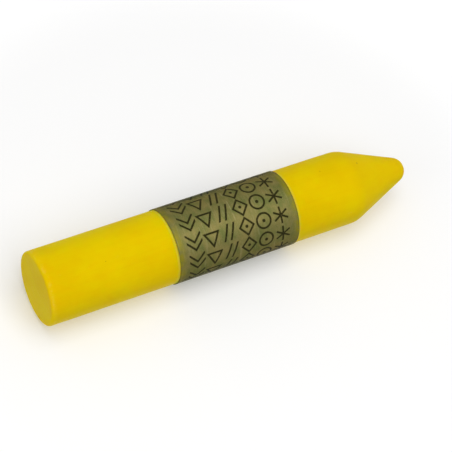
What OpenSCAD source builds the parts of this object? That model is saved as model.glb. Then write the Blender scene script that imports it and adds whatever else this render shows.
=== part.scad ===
// Wax crayon with a wrapped paper label.
// It stands on its flat butt: the origin is the middle of the butt face and +Z runs to the tip.

/* [Wax stick] */
// Length of the stick, from the butt face to the tip
stick_h = 60; // [52:0.5:90]
// Diameter of the round shaft
shaft_d = 11; // [9:0.1:14]
// Length of the tapered point, from the shoulder to the tip
point_h = 10.3; // [7:0.1:14]
// Radius of the rounded tip
nose_r = 2; // [1:0.1:2.8]
// Radius that softens the shoulder between the shaft and the point
shoulder_r = 4.5; // [1:0.1:5.4]
// Radius of the rim of the butt, where the wax left the mould's edge
butt_rim_r = 0.5; // [0.2:0.05:1]

/* [Label] */
// Height of the label's lower edge above the butt face
label_z = 19.8; // [8:0.1:28]
// Width of the label, along the stick
label_w = 19.2; // [10:0.1:28]
// Thickness of the foil paper
paper_t = 0.1; // [0.06:0.01:0.2]
// Length of paper that laps over its own first end
lap_l = 4; // [2:0.1:8]
// Length of paper that climbs from the first turn onto the lap
climb_l = 3; // [2:0.1:5]
// Direction that the first end of the paper faces, seen from the tip
seam_angle = 115; // [0:1:359]
// Film of glue under the paper and inside the lap
glue_t = 0.03; // [0.02:0.01:0.05]

/* [Colours] */
// Yellow wax
wax_colour = "#E2C400";
// Olive foil paper
paper_colour = "#8F8A62";

/* [Hidden] */
$fn = 128;

shaft_r = shaft_d / 2;

// The flank of the point is the straight line that touches both the shoulder's round and the tip's round.
// Without its round, the shoulder would be a corner at this height.
shoulder_z = stick_h - point_h;
nose_z = stick_h - nose_r;
// Angle between the flank and the stick's axis, from the corner to the tip's round.
flank_run = nose_z - shoulder_z;
flank_angle = atan(shaft_r / flank_run) - asin(nose_r / norm([shaft_r, flank_run]));
// The shoulder's round touches the shaft this far below the corner, and the flank as far above it.
shoulder_tangent = shoulder_r * tan(flank_angle / 2);
shoulder_round_x = shaft_r - shoulder_r;
shoulder_round_z = shoulder_z - shoulder_tangent;
flank_normal = [cos(flank_angle), sin(flank_angle)];

// The paper's first turn lies on its glue, and the lap lies on the first turn and its own glue.
turn_r = shaft_r + glue_t;
lap_lift = paper_t + glue_t;
lap_r = turn_r + lap_lift;
climb_angle = climb_l / turn_r * 180 / PI;
lap_angle = lap_l / lap_r * 180 / PI;
// The climb is an arc of its own: its centre is set off so that it leaves the first turn without a
// kink and meets the lap's radius at the seam.
climb_offset = (lap_r ^ 2 - turn_r ^ 2) / (2 * (turn_r - lap_r * cos(climb_angle)));
// A wedge's sides reach past all of the paper.
wedge_reach = 4 * shaft_d;

// Half of the stick's outline, for one turn about the axis.
module stick_outline() {
    intersection() {
        union() {
            polygon([
                [0, 0],
                [shaft_r - butt_rim_r, 0],
                [shaft_r, butt_rim_r],
                [shaft_r, shoulder_round_z],
                [shoulder_round_x, shoulder_round_z] + shoulder_r * flank_normal,
                [0, nose_z] + nose_r * flank_normal,
                [0, stick_h],
            ]);
            translate([shaft_r - butt_rim_r, butt_rim_r]) circle(r = butt_rim_r);
            translate([shoulder_round_x, shoulder_round_z]) circle(r = shoulder_r);
            translate([0, nose_z]) circle(r = nose_r);
        }
        square([shaft_d, 2 * stick_h]);
    }
}

// One casting: butt, shaft, tapered point and rounded tip.
module wax_stick() {
    color(wax_colour) rotate_extrude() stick_outline();
}

// The part of the plane between two directions, less than half a turn apart.
module wedge(from, to) {
    middle = (from + to) / 2;
    polygon([
        [0, 0],
        wedge_reach * [cos(from), sin(from)],
        wedge_reach * [cos(middle), sin(middle)],
        wedge_reach * [cos(to), sin(to)],
    ]);
}

// A layer of paper that lies on radius r.
module paper_ring(r) {
    difference() {
        circle(r = r + paper_t);
        circle(r = r);
    }
}

// The paper from its edge-on side: first turn, climb and lap are one strip of even thickness.
module paper_outline() {
    difference() {
        paper_ring(turn_r);
        wedge(-climb_angle, 0);
    }
    intersection() {
        translate(-climb_offset * [cos(climb_angle), -sin(climb_angle)])
            paper_ring(turn_r + climb_offset);
        wedge(-climb_angle, 0);
    }
    intersection() {
        paper_ring(lap_r);
        wedge(0, lap_angle);
    }
}

// A strip of foil paper, wrapped once round the shaft and glued to itself where it laps.
module label_band() {
    color(paper_colour)
        translate([0, 0, label_z])
            rotate(seam_angle)
                linear_extrude(label_w) paper_outline();
}

wax_stick();
label_band();
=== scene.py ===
# %% [markdown]
# # A wax crayon with a wrapped label
#
# A school crayon is two things. The stick is one casting: pigmented wax is poured into a cold
# mould with the tip downwards, the surplus is scraped off level with the mould, and the stick is
# pushed out. The label is a strip of foil paper, wrapped once round the shaft and glued to itself.
#
# The construction comes in as a fixed frame: its solids say where the pieces are and how large.
# This lesson dresses them. Each piece is a surface worked out with numpy, and each finish is a
# formula. Blender wants metres, so sizes that a maker would give in millimetres are multiplied by
# MM.

# %% Load the frame
import math

import bpy
import numpy as np
from mathutils import Matrix, Vector


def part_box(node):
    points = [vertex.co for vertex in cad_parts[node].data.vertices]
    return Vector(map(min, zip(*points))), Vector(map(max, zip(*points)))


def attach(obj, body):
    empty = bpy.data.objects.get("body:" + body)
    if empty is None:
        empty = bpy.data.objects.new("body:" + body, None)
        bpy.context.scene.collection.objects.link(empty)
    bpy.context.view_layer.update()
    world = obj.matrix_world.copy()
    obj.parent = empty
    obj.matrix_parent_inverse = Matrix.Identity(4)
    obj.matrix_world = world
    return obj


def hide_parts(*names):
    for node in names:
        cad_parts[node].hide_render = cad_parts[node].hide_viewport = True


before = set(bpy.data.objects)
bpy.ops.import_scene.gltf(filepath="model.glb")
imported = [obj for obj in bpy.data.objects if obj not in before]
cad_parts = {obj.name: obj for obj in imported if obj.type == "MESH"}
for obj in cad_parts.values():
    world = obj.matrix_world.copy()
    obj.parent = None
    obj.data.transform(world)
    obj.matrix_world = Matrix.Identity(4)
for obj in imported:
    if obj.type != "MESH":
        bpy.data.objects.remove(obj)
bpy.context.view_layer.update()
MM = 0.001

# %% [markdown]
# ## Sizes that the two pieces share
#
# The stick's height and radius and the label's place are read from the frame's boxes. What a box
# can't show, such as the rounds of the outline and the paper's thickness, is given here.

# %% Sizes
stick_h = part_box("wax_stick")[1].z
shaft_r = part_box("wax_stick")[1].x
label_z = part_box("label_band")[0].z
label_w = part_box("label_band")[1].z - label_z
point_h = 10.3 * MM
nose_r = 2.0 * MM
shoulder_r = 4.5 * MM
butt_rim_r = 0.5 * MM
paper_t = 0.1 * MM
glue_t = 0.03 * MM
lap_l = 4.0 * MM
climb_l = 3.0 * MM
seam_angle = math.radians(115)
print("shaft radius", round(shaft_r / MM, 3), "mm, label from", round(label_z / MM, 2), "mm up")

# %% [markdown]
# ## From a grid to a mesh
#
# Every piece here is a grid: one parameter runs along the rows, the other round the columns, and
# each grid point has a place in space. Neighbouring points make four-sided faces. What closes the
# grid, such as the fan of faces round a pole, is added to the same mesh. Blender could also turn
# or bend simple shapes with modifiers, but a formula lets every point be moved later, one by one.

# %% Grid and mesh


def grid_faces(rows, columns):
    """Faces of a grid whose columns close on themselves: (i, j), (i, j+1), (i+1, j+1), (i+1, j)."""
    i, j = np.meshgrid(np.arange(rows - 1), np.arange(columns), indexing="ij")
    after = (j + 1) % columns
    row = i * columns
    next_row = row + columns
    corners = [row + j, row + after, next_row + after, next_row + j]
    return np.stack(corners, -1).reshape(-1, 4)


def new_piece(name, points, faces, strip=None):
    """Puts points and faces into a smooth mesh.

    strip holds one (u, v) for each point, and becomes the mesh's UV map.
    """
    mesh = bpy.data.meshes.new(name)
    mesh.from_pydata(points, [], faces)
    if strip is not None:
        corner = np.zeros(len(mesh.loops), np.int32)
        mesh.loops.foreach_get("vertex_index", corner)
        uv = strip[corner].astype(np.float32)
        mesh.uv_layers.new(name="strip_mm").data.foreach_set("uv", uv.ravel())
    mesh.polygons.foreach_set("use_smooth", np.ones(len(faces), bool))
    piece = bpy.data.objects.new(name, mesh)
    bpy.context.scene.collection.objects.link(piece)
    return piece


print("a grid of 3 by 4 points has", len(grid_faces(3, 4)), "faces")

# %% [markdown]
# ## Unevenness
#
# Nothing that is moulded or wrapped by hand is perfectly even. A sum of a few waves with random
# pitches is the smoothest kind of unevenness, and it costs one line of numpy for each wave. Knocks
# are bells: deep in the middle and gone after a short way. The random numbers come from a seeded
# generator, so that the crayon is the same one every time.

# %% Waves and dents
SEED = 60
rng = np.random.default_rng(SEED)


def soft_waves(around, along, count, finest):
    """Unevenness of about -1 to 1 over a round surface: the mean of count waves, scaled up.

    Each wave has a whole number of crests around, so that it closes, a random pitch along, down
    to the finest one, and a random phase. They seldom agree, so their mean hardly passes 0.6.
    """
    crests = rng.integers(0, 6, count)
    pitch = rng.uniform(finest, 6 * finest, count)
    phase = rng.uniform(0, 2 * math.pi, count)
    total = np.zeros(np.broadcast(around, along).shape)
    for n, p, shift in zip(crests, pitch, phase):
        total += np.sin(n * around + 2 * math.pi * along / p + shift)
    scale_up = 1.6
    return total * scale_up / count


def dents(around, height, count, low, high, width, depth):
    """Shallow knocks: a sum of bells, exp(-(distance / size) squared), at random places.

    Each lies between the heights low and high, and has a size near width, a length of its own
    and a depth of at most depth.
    """
    total = np.zeros(np.broadcast(around, height).shape)
    for _ in range(count):
        knock_angle = rng.uniform(0, 2 * math.pi)
        knock_height = rng.uniform(low, high)
        size = width * rng.uniform(0.6, 1.4)
        turn = (around - knock_angle + math.pi) % (2 * math.pi) - math.pi
        away = np.hypot(turn * shaft_r, (height - knock_height) * rng.uniform(0.5, 1.2))
        total += depth * rng.uniform(0.5, 1.0) * np.exp(-((away / size) ** 2))
    return total


print("random numbers start from seed", SEED)

# %% [markdown]
# ## The outline of the stick
#
# The stick is a turned shape, so all of it is one outline carried round the axis: the flat butt,
# its rounded rim, the straight shaft, the soft shoulder, the flank of the point and the round tip.
# A lathe or Blender's Screw modifier would do the same. Working the outline out gives every arc
# its true radius. The flank is the line that touches both the shoulder's arc and the tip's arc, so
# no crease shows.

# %% The outline of the stick


def arc(centre, radius, start, end, step):
    """Points on a circle: centre plus radius times (cosine, sine) of angles from start to end."""
    count = max(4, int(abs(end - start) * radius / step) + 1)
    angle = np.linspace(start, end, count)
    return np.stack([centre[0] + radius * np.cos(angle), centre[1] + radius * np.sin(angle)], -1)


def straight(start, end, step):
    """Points on a line, without its two ends: start plus a share of the way to end."""
    start, end = np.array(start), np.array(end)
    count = max(3, int(np.linalg.norm(end - start) / step) + 1)
    share = np.linspace(0, 1, count)[1:-1, None]
    return start + (end - start) * share


def stick_outline(step):
    """The outline from the middle of the butt to the tip, as points (radius, height).

    Without its round, the shoulder would be a corner at corner_z. From there, the flank leans by
    the angle to the tip's centre less the angle that the tip's radius takes up.
    """
    corner_z = stick_h - point_h
    nose_z = stick_h - nose_r
    run = nose_z - corner_z
    lean = math.atan(shaft_r / run) - math.asin(nose_r / math.hypot(shaft_r, run))
    shoulder = (shaft_r - shoulder_r, corner_z - shoulder_r * math.tan(lean / 2))
    rim = arc((shaft_r - butt_rim_r, butt_rim_r), butt_rim_r, -math.pi / 2, 0, step / 4)
    soft = arc(shoulder, shoulder_r, 0, lean, step / 2)
    nose = arc((0, nose_z), nose_r, lean, math.pi / 2, step / 2)
    parts = [
        straight((0, 0), rim[0], step),
        rim,
        straight(rim[-1], soft[0], step),
        soft,
        straight(soft[-1], nose[0], step),
        nose[:-1],
    ]
    return np.concatenate(parts)


outline = stick_outline(step=0.28 * MM)
print(len(outline), "points on the outline")

# %% [markdown]
# ## Carry the outline round
#
# A cast stick is a little uneven: the wax shrinks as it sets, and pushing it out of the mould
# drags its skin. The surface sinks by a few hundredths of a millimetre here and there, the butt
# dishes slightly, and knocks in the box leave a few shallow dents. All of it goes inwards, so the
# stick never grows past its mould. Two poles, one in the middle of the butt and one at the tip,
# close the shape.

# %% The wax stick
SHRINK = 0.018 * MM
DISH = 0.05 * MM


def wax_surface(around_count):
    """The turned surface: (r cos a, r sin a, z) for each outline point and each angle a.

    r is the outline's radius less the shrink and the knocks, which fade out towards the axis.
    """
    around = np.linspace(0, 2 * math.pi, around_count, endpoint=False)[None, :]
    radius, height = outline[:, :1], outline[:, 1:]
    shrink = SHRINK * (1 + soft_waves(around, height, count=14, finest=6 * MM)) / 2
    # Knocks below the label, knocks above it, and deeper ones on the rim of the butt.
    above_label = label_z + label_w + MM
    knocks = dents(around, height, 16, 0, label_z - MM, width=0.9 * MM, depth=0.03 * MM)
    knocks += dents(around, height, 14, above_label, stick_h - MM, width=0.8 * MM, depth=0.03 * MM)
    knocks += dents(around, height, 9, 0, 0.4 * MM, width=0.5 * MM, depth=0.06 * MM)
    sunk = np.clip(radius - (shrink + knocks) * np.minimum(1, radius / nose_r), 0, None)
    on_butt = height < 1e-9
    dish = DISH * np.clip(1 - (radius / (shaft_r - butt_rim_r)) ** 2, 0, None) * on_butt
    return np.stack([sunk * np.cos(around), sunk * np.sin(around), height + dish + 0 * around], -1)


def pole_fans(rows, columns):
    """Triangles from the first and the last row to a pole each, numbered after all the grid."""
    ring = np.arange(columns)
    after = (ring + 1) % columns
    last_row = (rows - 1) * columns
    butt = np.stack([after, ring, np.full(columns, rows * columns)], -1)
    tip = np.stack([last_row + ring, last_row + after, np.full(columns, rows * columns + 1)], -1)
    return butt.tolist() + tip.tolist()


grid = wax_surface(around_count=208)
poles = [(0, 0, grid[0, 0, 2]), (0, 0, stick_h)]
faces = grid_faces(*grid.shape[:2]).tolist() + pole_fans(*grid.shape[:2])
wax = new_piece("wax_casting", np.concatenate([grid.reshape(-1, 3), poles]), faces)
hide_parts("wax_stick")
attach(wax, "root")
print(len(wax.data.polygons), "faces on the stick")

# %% [markdown]
# ## How the label is wound
#
# The label starts as a flat strip. Its first turn lies on the wax. Just before the strip meets its
# own end it climbs by its thickness, and then it laps over itself. So the strip's radius is a
# function of the length that has been wound: level, then a climb, then level again. Bending a flat
# mesh with a Curve modifier would do it too, but the formula keeps the strip's length true, and
# that length is what the print needs.

# %% The radius of the strip
turn_r = shaft_r + glue_t
lap_r = turn_r + paper_t + glue_t
first_turn = 2 * math.pi * turn_r
strip_l = first_turn + lap_l


def strip_radius(wound):
    """Radius of the strip's inner face: turn_r, then a climb that ends the turn, then lap_r.

    The climb follows a larger circle that touches the first turn where it starts. Its centre lies
    shift beyond the axis, so at angle t along the climb the law of cosines gives the radius:
    root((turn_r + shift) squared - (shift * sin t) squared) - shift * cos t.
    """
    climb = climb_l / turn_r
    shift = (lap_r**2 - turn_r**2) / (2 * (turn_r - lap_r * math.cos(climb)))
    t = np.clip(wound / turn_r - (2 * math.pi - climb), 0, climb)
    return np.sqrt((turn_r + shift) ** 2 - (shift * np.sin(t)) ** 2) - shift * np.cos(t)


print("strip", round(strip_l / MM, 2), "mm long, lap at radius", round(lap_r / MM, 3), "mm")

# %% [markdown]
# ## The label
#
# The strip is a flat tube: an outer face, an inner face and the cut edges between them. It carries
# a UV map in millimetres, along it and across it, on which the print will be drawn as on the flat
# paper. The paper doesn't lie quite flat, because it was curled round the stick: low ripples run
# across it.

# %% The paper label
RIPPLE = 0.008 * MM
CRINKLE = 0.004 * MM


def strip_surface(wound_count, across_count):
    """The strip as a flat tube: each row goes down the outer face and back up the inner face.

    A point that lies wound along the strip and up across it is at angle seam + wound / radius. The
    outer face lies one paper's thickness further out, less the ripples.
    """
    wound = np.linspace(0, strip_l, wound_count)[:, None]
    down = np.linspace(label_w, 0, across_count)[None, :]
    inner = strip_radius(wound)
    lapped = np.maximum(wound - first_turn, 0)
    angle = seam_angle + np.minimum(wound, first_turn) / turn_r + lapped / lap_r
    ripple = RIPPLE * soft_waves(3 * angle, down, count=12, finest=5 * MM)
    ripple += CRINKLE * soft_waves(9 * angle, down, count=10, finest=3 * MM)
    ripple = np.minimum(ripple - RIPPLE, 0)
    radius = np.concatenate([inner + paper_t + ripple, inner + 0 * ripple], 1)
    height = np.concatenate([down, down[:, ::-1]], 1) + 0 * radius
    points = np.stack([radius * np.cos(angle), radius * np.sin(angle), label_z + height], -1)
    strip = np.stack([wound + 0 * radius, height], -1) / MM
    return points, strip


def strip_ends(rows, columns):
    """Faces that close the tube's two ends, from each outer point to the inner one behind it."""
    top = np.arange(columns // 2 - 1)
    end = np.stack([top, top + 1, columns - 2 - top, columns - 1 - top], -1)
    return end[:, ::-1].tolist() + (end + (rows - 1) * columns).tolist()


grid, strip = strip_surface(wound_count=300, across_count=84)
faces = grid_faces(*grid.shape[:2]).tolist() + strip_ends(*grid.shape[:2])
label = new_piece("paper_label", grid.reshape(-1, 3), faces, strip.reshape(-1, 2))
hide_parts("label_band")
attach(label, "root")
print(len(label.data.polygons), "faces on the label")

# %% [markdown]
# ## Formulas as Python
#
# A finish is a formula on places: where it is pale, where it is rough, where it is dented. Blender
# stores a formula as nodes and links. The small class below stands for one output of a node, and
# its operators add the Math node that each of them means, so 1 - mask or (a + b) * 0.5 can be
# written as they are. Any other node comes from the method node().

# %% A field and its operators


class Field:
    """One number, vector or colour that changes over a surface: an output socket of a material."""

    def __init__(self, socket):
        self.socket = socket

    def node(self, kind, settings=None, out=0, **values):
        """Adds a node of a kind, sets its settings, then its sockets, and gives one output.

        values are named by socket, with _ for a space, or by number as i0, i1 and so on. With
        out=None it gives the node itself.
        """
        tree = self.socket.id_data
        made = tree.nodes.new("ShaderNode" + kind)
        for name, value in (settings or {}).items():
            setattr(made, name, value)
        for name, value in values.items():
            key = int(name[1:]) if name[1:].isdigit() else name.replace("_", " ")
            socket = made.inputs[key]
            if isinstance(value, Field):
                tree.links.new(value.socket, socket)
            else:
                socket.default_value = value
        return made if out is None else Field(made.outputs[out])

    def math(self, operation, *others, clamp=False):
        """This field and others through one Math node."""
        terms = {f"i{k}": value for k, value in enumerate((self, *others))}
        return self.node("Math", {"operation": operation, "use_clamp": clamp}, **terms)

    def __add__(self, other):
        return self.math("ADD", other)

    def __sub__(self, other):
        return self.math("SUBTRACT", other)

    def __mul__(self, other):
        return self.math("MULTIPLY", other)

    def __truediv__(self, other):
        return self.math("DIVIDE", other)

    def __rsub__(self, other):
        return self.node("Math", {"operation": "SUBTRACT"}, i0=other, i1=self)

    def __abs__(self):
        return self.math("ABSOLUTE")

    __radd__ = __add__
    __rmul__ = __mul__

    def over(self, low, high):
        """A soft step: 0 below low, 1 above high, smooth between. With low above high it falls."""
        smooth = {"interpolation_type": "SMOOTHSTEP"}
        return self.node("MapRange", smooth, Value=self, i1=low, i2=high)

    def band(self, low, high, soft):
        """1 between low and high, and softly 0 outside them."""
        return self.over(low - soft, low + soft) * self.over(high + soft, high - soft)

    def stretch(self, x, y, z):
        """A vector whose parts are each multiplied by their own number."""
        return self.node("VectorMath", {"operation": "MULTIPLY"}, i0=self, i1=(x, y, z))

    def part(self, axis):
        """One part of a vector or colour: 0, 1 or 2."""
        return self.node("SeparateXYZ", out=axis, i0=self)

    def noise(self, scale, detail=2.0, rough=0.5):
        """Cloudy noise of about 0 to 1 at this place, with scale clouds in each unit."""
        return self.node("TexNoise", Vector=self, Scale=scale, Detail=detail, Roughness=rough)

    def spots(self, spacing, size, share):
        """Scattered round spots, up to size across, in a share of cells that are spacing apart."""
        near = self.node("TexVoronoi", Vector=self, Scale=1 / spacing)
        lot = Field(near.socket.node.outputs["Color"]).part(0)
        spot = near.over(0.5 * size / spacing, 0.25 * size / spacing)
        return spot * lot.over(1 - share, 1.001 - share)

    def paint(self, under, over):
        """A colour: under where this field is 0, over where it is 1, and a mix between."""
        return self.node("Mix", {"data_type": "RGBA"}, out=2, i0=self, i6=under, i7=over)


print("Field has", sum(callable(value) for value in vars(Field).values()), "methods")

# %% [markdown]
# ## Start and feed a finish
#
# Every finish starts in the same way: an empty material on a piece, with the numbers that are the
# same all over it set on the shader itself, and places measured in millimetres from the object's
# origin. It ends in the same way too: the formulas are linked to the shader's sockets.

# %% Colours, places and sockets


def colour(code):
    """A colour code such as E2C400 as the linear red, green, blue and alpha that a shader wants."""
    parts = [int(code[k : k + 2], 16) / 255 for k in (0, 2, 4)]
    return (*[c / 12.92 if c <= 0.04045 else ((c + 0.055) / 1.055) ** 2.4 for c in parts], 1)


def finish_for(name, piece, **constants):
    """An empty finish on a piece: its shader, and the place of each point in millimetres."""
    material = bpy.data.materials.new(name)
    material.use_nodes = True
    tree = material.node_tree
    shader = tree.nodes["Principled BSDF"]
    for socket, value in constants.items():
        shader.inputs[socket.replace("_", " ")].default_value = value
    piece.data.materials.append(material)
    places = Field(tree.nodes.new("ShaderNodeTexCoord").outputs["Object"])
    return shader, places.stretch(1 / MM, 1 / MM, 1 / MM)


def feed(shader, relief, **fields):
    """Links fields to the shader's sockets, and relief, a height in millimetres, to its normal."""
    fields["Normal"] = relief.node("Bump", Strength=1.0, Distance=MM, Height=relief)
    for socket, field in fields.items():
        shader.id_data.links.new(field.socket, shader.inputs[socket.replace("_", " ")])
    print("a finish of", len(shader.id_data.nodes), "nodes")


print("wax yellow as the shader takes it:", [round(part, 3) for part in colour("E8CC00")])

# %% [markdown]
# ## Yellow wax
#
# Crayon wax is matt with a soft, slightly greasy sheen, and light goes a little way into it, which
# keeps its shaded side warm instead of grey. That is subsurface scattering: its radius is the
# depth that red, green and blue light reach, and blue hardly enters a yellow wax at all. The sheen
# is weak and tinted yellow, so that a white sky doesn't wash the colour out.
#
# On top of that go the marks of casting. Pigment settles in clouds. The point is a deeper yellow,
# which is painted shade, since it faces away from the light. Pushing the stick out leaves fine
# lines along it, bubbles leave pinholes, painted darker as painted shade in the pits, and the blade
# that scraped the butt level leaves its own lines there. The butt's rim and the tip rub against
# other crayons, and are paler and smoother. A thin paler rim on the wax beside each edge of the
# label is a painted highlight.

# %% The wax finish
WAX_YELLOW = colour("E8CC00")
WAX_DEEP = colour("DEB600")
# The pale wax below is for rubbing and scraping, and also the painted highlight beside the label.
WAX_BLOOM_AND_HIGHLIGHT = colour("EFD65A")
# The dark colour below is for pigment specks, and also the painted shade in the pinholes.
WAX_SPECK_AND_PIT_SHADE = colour("9A7014")


def wax_finish(piece):
    """Yellow wax. Heights up the stick, in millimetres, say where each mark lies."""
    shader, at = finish_for(
        "yellow_wax",
        piece,
        IOR=1.44,
        Specular_IOR_Level=0.06,
        Specular_Tint=(1.0, 0.82, 0.16, 1),
        Subsurface_Weight=0.8,
        Subsurface_Radius=(1.0, 0.35, 0.04),
        Subsurface_Scale=2.2 * MM,
    )
    height = at.part(2)
    shoulder = (stick_h - point_h) / MM
    tip = stick_h / MM
    low_edge = label_z / MM
    high_edge = (label_z + label_w) / MM

    clouds = at.noise(0.14, 3.0)
    # Painted shade: the point is made a deeper yellow, as it faces away from the light.
    painted_shade_on_point = height.over(shoulder - 2, shoulder + 2)
    drag = at.stretch(1, 1, 0.035).noise(2.2, 4.0, 0.6)
    peel = at.noise(0.9, 2.0)
    grain = at.noise(7.0, 3.0, 0.6)
    pinholes = at.spots(2.2, 0.22, 0.25)
    specks = at.spots(3.4, 0.42, 0.32) * at.noise(6.0).over(0.35, 0.6)
    scuffs = at.stretch(1.6, 1.6, 0.5).noise(1.2, 6.0, 0.8).over(0.62, 0.70)
    butt = height.over(0.3, 0.1)
    scrape = at.stretch(0.12, 1.6, 0).noise(1.5, 4.0, 0.65) * butt
    exposed = height.over(0.9, 0.3) - butt + height.over(tip - 1.2, tip)
    rubbed = exposed * at.noise(1.4, 4.0, 0.65).over(0.42, 0.62)
    # Painted highlight: a thin paler rim on the wax beside each edge of the label.
    below_label = height.band(low_edge - 0.3, low_edge, 0.2)
    above_label = height.band(high_edge, high_edge + 0.3, 0.2)
    painted_highlight_by_paper = below_label + above_label

    # Deeper: the clouds, the drag lines, and the painted shade on the point.
    deep = clouds.over(0.35, 0.7) * 0.45 + drag.over(0.45, 0.75) * 0.15 + painted_shade_on_point * 0.25
    # Paler: rubbing, scraping and scuffs, and the painted highlight beside the label.
    pale = rubbed * 0.3 + painted_highlight_by_paper * 0.4 + scrape.over(0.5, 0.8) * 0.2 + scuffs * 0.3
    relief = drag * 0.015 + peel * 0.045 + grain * 0.012 + scrape * 0.06
    relief = relief - pinholes * 0.06 - scuffs * 0.008
    wax_colour = deep.paint(WAX_YELLOW, WAX_DEEP)
    wax_colour = pale.paint(wax_colour, WAX_BLOOM_AND_HIGHLIGHT)
    # Specks are dark pigment; the pinholes take their colour as painted shade in the pits.
    wax_colour = (pinholes * 0.35 + specks * 0.6).paint(wax_colour, WAX_SPECK_AND_PIT_SHADE)
    feed(
        shader,
        relief=relief,
        Base_Color=wax_colour,
        Roughness=0.55 + clouds * 0.08 + grain * 0.06 - rubbed * 0.10 - drag * 0.05 - scuffs * 0.06,
    )


wax_finish(wax)

# %% [markdown]
# ## Motifs drawn by distance
#
# The label's print is drawn by distance: at each place, a formula gives the distance to the
# nearest stroke of a motif, and where that is less than half a stroke's width there is ink.
# Folding a line with abs() makes two lines of it, the smaller of two distances joins two shapes,
# and the larger one cuts the first shape to the second. Six plain motifs take turns: chevrons, a
# triangle, ticks, a diamond, a target and a star. Each lies in a cell, a along the strip and b
# across it, in millimetres.

# %% The six motifs


def chevrons(a, b):
    """Two V shapes: the line a + |b|, folded into two and cut where |b| passes 1."""
    fold = abs(abs(a + abs(b) - 0.35) - 0.5) * 0.71
    return fold.math("MAXIMUM", abs(b) - 1.0)


def triangle(a, b):
    """An outline: how far a place lies past the furthest of three sides, either way."""
    sides = (0 - a - 0.62).math("MAXIMUM", a * 0.5 + abs(b) * 0.87 - 0.56)
    return abs(sides)


def ticks(a, b):
    """Two slanted lines: one through the middle, folded into two and cut where |a| passes 0.97."""
    slant = abs(b * 0.93 + a * 0.37)
    return abs(slant - 0.42).math("MAXIMUM", abs(a) - 0.97)


def diamond(a, b):
    """The outline where |a| / 1.12 + |b| is 1, with a dot in it."""
    outline_away = abs(abs(a) / 1.12 + abs(b) - 1) * 0.75
    return outline_away.math("MINIMUM", (a * a + b * b).math("SQRT") - 0.08)


def target(a, b):
    """A ring of radius 0.98, with a dot in it."""
    away = (a * a + b * b).math("SQRT")
    return abs(away - 0.98).math("MINIMUM", away - 0.1)


def star(a, b):
    """Three lines through the middle, 60 degrees apart, cut to a circle of radius 1."""
    arms = abs(b)
    for lean in (0.87, -0.87):
        arms = arms.math("MINIMUM", abs(b * 0.5 + a * lean))
    return arms.math("MAXIMUM", (a * a + b * b).math("SQRT") - 1.0)


MOTIFS = (chevrons, triangle, ticks, diamond, target, star)
print(len(MOTIFS), "motifs:", [motif.__name__ for motif in MOTIFS])

# %% [markdown]
# ## The print
#
# The sheet that labels are cut from is printed all over, so every row round the stick repeats the
# same six motifs, one for each column, and the rows run on over the lap. Only a plain margin at
# each edge of the strip stays free.

# %% The print
PRINT_ROWS = 12
PRINT_MARGIN = 1.3
STROKE = 0.26
STROKE_BLUR = 0.04
MOTIF_SCALE = 1.1


def print_ink(strip):
    """1 where a stroke is printed on the strip, from its places (along, across) in millimetres.

    A place divided by the pitch has a whole part, which says which cell it is in, and a rest, which
    says where it lies in the cell.
    """
    row_pitch = first_turn / MM / PRINT_ROWS
    column_pitch = (label_w / MM - 2 * PRINT_MARGIN) / len(MOTIFS)
    along = strip.part(0) / row_pitch
    across = (strip.part(1) - PRINT_MARGIN) / column_pitch
    column = across.math("FLOOR")
    a = (along.math("FRACT") - 0.5) * (row_pitch / MOTIF_SCALE)
    b = (across - column - 0.5) * (column_pitch / MOTIF_SCALE)
    ink = 0
    for place, motif in enumerate(MOTIFS):
        mine = abs(column - place).over(0.6, 0.4)
        drawn = motif(a, b).over(STROKE / 2 + STROKE_BLUR, STROKE / 2 - STROKE_BLUR)
        ink = drawn * mine + ink
    return ink


print(PRINT_ROWS, "rows round the stick,", round(first_turn / MM / PRINT_ROWS, 2), "mm apart")

# %% [markdown]
# ## Foil paper
#
# The label is paper with a thin film of metal on it, lacquered to an olive gold. It is between
# paper and metal, so its shader is partly metallic and fairly rough. Rolling the foil leaves fine
# streaks along the strip, winding it round the stick leaves soft kinks across it, and the belt
# that pressed it on leaves a fine burnished line round the middle, which is also painted paler,
# as a painted glint. Wax has stained its two edges yellow. The dark specular tint is for the
# flanks: a metallic shader takes it as its colour at a slant, where foil would otherwise mirror
# the white sky.

# %% The paper finish
FOIL_GOLD = colour("7A7040")
FOIL_OLIVE = colour("5C6132")
FOIL_STAIN = colour("8A8010")
INK = colour("24220E")
# The pale foil below is for scuffs, grain and streaks, and also the painted glint on the belt line.
SCUFF_AND_GLINT = colour("A8A078")
SOAK = 1.3


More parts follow.
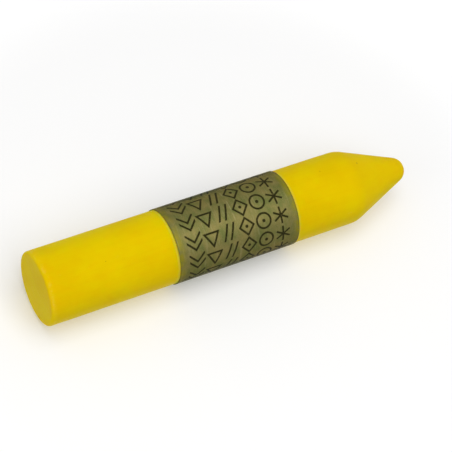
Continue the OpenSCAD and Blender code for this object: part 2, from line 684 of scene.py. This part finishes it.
def paper_finish(piece):
    """Olive foil paper, worked out in millimetres along and across the strip.

    SOAK is how far the wax has crept in from the strip's edges.
    """
    shader, at = finish_for(
        "foil_paper",
        piece,
        IOR=1.5,
        Specular_IOR_Level=0.05,
        Specular_Tint=(0.1, 0.1, 0.05, 1),
    )
    strip = at.node("UVMap", {"uv_map": "strip_mm"})
    across = strip.part(1)
    width = label_w / MM
    halfway = width / 2

    ink = print_ink(strip) * at.noise(9.0, 2.0).over(0.22, 0.42)
    streaks = strip.stretch(0.09, 1, 1).noise(3.2, 4.0, 0.65)
    kinks = strip.stretch(1, 0.12, 1).noise(0.9, 3.0, 0.6)
    grain = strip.noise(9.0, 3.0, 0.7)
    mottle = strip.noise(0.9, 4.0, 0.7) * 0.5 + strip.noise(0.22, 3.0) * 0.5
    edges = across.over(SOAK, 0.1) + across.over(width - SOAK, width - 0.1)
    stain = edges * at.noise(0.8, 3.0).over(0.25, 0.7)
    pressed = strip.noise(0.6, 2.0).over(0.42, 0.58)
    # The belt line is real relief and smoothness; its paler colour is a painted glint.
    belt_and_painted_glint = across.band(halfway - 0.05, halfway + 0.05, 0.09) * pressed
    scuffs = strip.stretch(0.8, 2.0, 1).noise(1.1, 5.0, 0.75).over(0.66, 0.74)

    foil = mottle.over(0.35, 0.65).paint(FOIL_GOLD, FOIL_OLIVE)
    foil = (grain.over(0.5, 0.75) * 0.35).paint(foil, SCUFF_AND_GLINT)
    foil = (stain * 0.8).paint(foil, FOIL_STAIN)
    # Painted glint: the belt line is painted paler, along with the pale streaks and scuffs.
    foil = (streaks.over(0.5, 0.8) * 0.3 + scuffs * 0.25 + belt_and_painted_glint * 0.35).paint(foil, SCUFF_AND_GLINT)
    foil = (ink * 0.95).paint(foil, INK)
    feed(
        shader,
        relief=kinks * 0.030 + streaks * 0.006 + grain * 0.003 + belt_and_painted_glint * 0.012 - ink * 0.002,
        Base_Color=foil,
        Metallic=0.62 - ink * 0.5 - stain * 0.25,
        Roughness=0.35 + streaks * 0.12 + grain * 0.10 + ink * 0.2 - scuffs * 0.06 - belt_and_painted_glint * 0.1,
    )


paper_finish(label)

# %% [markdown]
# ## Floor and wall
#
# The crayon stands on its butt on the floor, and its side rests against a wall. The camera below
# looks at it from the foot of the wall, which is how one sees a crayon that lies on a table, with
# its butt towards the eye. The floor would be in the way there, so floor and wall are boards with
# one side: from behind, they are clear.
#
# The boards are pale and take the crayon's shadow. A little light of their own, which only the
# camera sees, lifts them to white.

# %% The boards
stick_middle = Vector((0, 0, stick_h / 2))
REACH = 3.0
WALL_GAP = 0.01 * MM
PALE_GREY = (0.92, 0.92, 0.92, 1)
FLOOR_GLOW = 0.41
WALL_GLOW = 0.12
FADE_FROM = 0.04
FADE_TO = 0.12


def one_sided_board(name, corners, glow):
    """A pale flat board, seen from the side that its corners go round anticlockwise.

    It takes the crayon's shadow, but the crayon doesn't see it, so no board darkens the side that
    another view looks at. glow lifts it to white near the crayon. From FADE_FROM to FADE_TO metres
    away its own light grows to 1, so far away it is white by itself.
    """
    board = new_piece(name, corners, [(0, 1, 2, 3)])
    for ray in ("diffuse", "glossy", "transmission", "volume_scatter", "shadow"):
        setattr(board, "visible_" + ray, False)
    material = bpy.data.materials.new(name)
    material.use_nodes = True
    tree = material.node_tree
    tree.nodes.clear()
    geometry = tree.nodes.new("ShaderNodeNewGeometry")
    behind = Field(geometry.outputs["Backfacing"])
    place = Field(geometry.outputs["Position"])
    away = place.node("VectorMath", {"operation": "DISTANCE"}, "Value", i0=place, i1=stick_middle)
    light = away.over(FADE_FROM, FADE_TO) * (1 - glow) + glow
    pale = behind.node("BsdfDiffuse", Color=PALE_GREY)
    front = behind.node("AddShader", i0=pale, i1=behind.node("Emission", Color=light))
    board_look = behind.node("MixShader", i0=behind, i1=front, i2=behind.node("BsdfTransparent"))
    board_look.node("OutputMaterial", out=None, Surface=board_look)
    board.data.materials.append(material)


wall_y = turn_r + paper_t + WALL_GAP
square = [(-REACH, -REACH), (REACH, -REACH), (REACH, REACH), (-REACH, REACH)]
one_sided_board("floor", [(x, y, 0) for x, y in square], FLOOR_GLOW)
one_sided_board("wall", [(x, wall_y, z) for x, z in square], WALL_GLOW)
print("wall", round(wall_y / MM, 3), "mm from the axis")

# %% [markdown]
# ## Light
#
# A wide soft lamp, as large as a window, stands where the ceiling would be for a crayon that lies
# on the wall. It draws the bright band along the foil. Two weaker ones fill in: one behind, for
# the side that only other views show, and one below, for the butt. An even white sky does the
# rest. Where the sky is seen, straight or in a reflection, it is plain white.

# %% Lamps and sky
LAMP_DISTANCE = 0.50


def soft_lamp(name, direction, distance, width, height, power):
    """A flat lamp that faces the middle of the crayon from a direction."""
    data = bpy.data.lights.new(name, "AREA")
    data.shape = "RECTANGLE"
    data.size = width
    data.size_y = height
    data.energy = power
    lamp = bpy.data.objects.new(name, data)
    bpy.context.scene.collection.objects.link(lamp)
    away = Vector(direction).normalized()
    lamp.location = stick_middle + away * distance
    lamp.rotation_euler = away.to_track_quat("Z", "Y").to_euler()
    lamp.visible_camera = False


def white_sky(level):
    """A white world: level is its light on surfaces. The camera and reflections see it at 1."""
    world = bpy.data.worlds.new("studio")
    bpy.context.scene.world = world
    world.use_nodes = True
    sky = world.node_tree.nodes["Background"]
    ray = world.node_tree.nodes.new("ShaderNodeLightPath")
    seen = Field(ray.outputs["Is Camera Ray"]) + Field(ray.outputs["Is Glossy Ray"])
    seen = seen.math("ADD", Field(ray.outputs["Is Transmission Ray"]), clamp=True)
    sky.inputs["Color"].default_value = (1, 1, 1, 1)
    world.node_tree.links.new((seen * (1 - level) + level).socket, sky.inputs["Strength"])


soft_lamp("window", (0.40, -1.0, 0.06), LAMP_DISTANCE, width=0.70, height=0.36, power=1.65)
soft_lamp("fill", (-0.4, 1.0, 0.35), LAMP_DISTANCE, width=0.50, height=0.50, power=0.6)
soft_lamp("low fill", (0.25, -0.35, -1.0), LAMP_DISTANCE, width=0.40, height=0.40, power=0.45)
white_sky(level=0.46)
print(len(bpy.data.lights), "lamps and a sky")

# %% [markdown]
# ## Camera
#
# The camera goes round the standing crayon by an azimuth and an elevation, like a globe's
# longitude and latitude, and then rolls, so that the crayon runs up to the right across the
# picture. A long lens from about 30 cm keeps the stick's sides nearly parallel.

# %% The camera
VIEW_AZIMUTH = math.radians(30)
VIEW_ELEVATION = math.radians(-22)
VIEW_DISTANCE = 0.29
STICK_TILT = math.radians(18.5)
LENS = 160.0


def place_camera():
    """Looks at the crayon's middle; in the picture its axis rises by STICK_TILT to the right."""
    back = Vector((
        math.sin(VIEW_AZIMUTH) * math.cos(VIEW_ELEVATION),
        -math.cos(VIEW_AZIMUTH) * math.cos(VIEW_ELEVATION),
        math.sin(VIEW_ELEVATION),
    ))
    axis = (Vector((0, 0, 1)) - back * back.z).normalized()
    right = axis * math.cos(STICK_TILT) - back.cross(axis) * math.sin(STICK_TILT)
    data = bpy.data.cameras.new("camera")
    data.lens = LENS
    data.clip_start = 0.01
    data.clip_end = 10
    camera = bpy.data.objects.new("camera", data)
    bpy.context.scene.collection.objects.link(camera)
    turn = Matrix((right, back.cross(right), back)).transposed().to_4x4()
    camera.matrix_world = Matrix.Translation(stick_middle + back * VIEW_DISTANCE) @ turn
    bpy.context.scene.camera = camera


place_camera()
bpy.context.scene.view_settings.view_transform = "Standard"
print("camera", round(VIEW_DISTANCE / MM), "mm from the middle, with a lens of", LENS, "mm")

# %% [markdown]
# ## The last look
#
# A dressed piece may sink a little, but it may not grow.
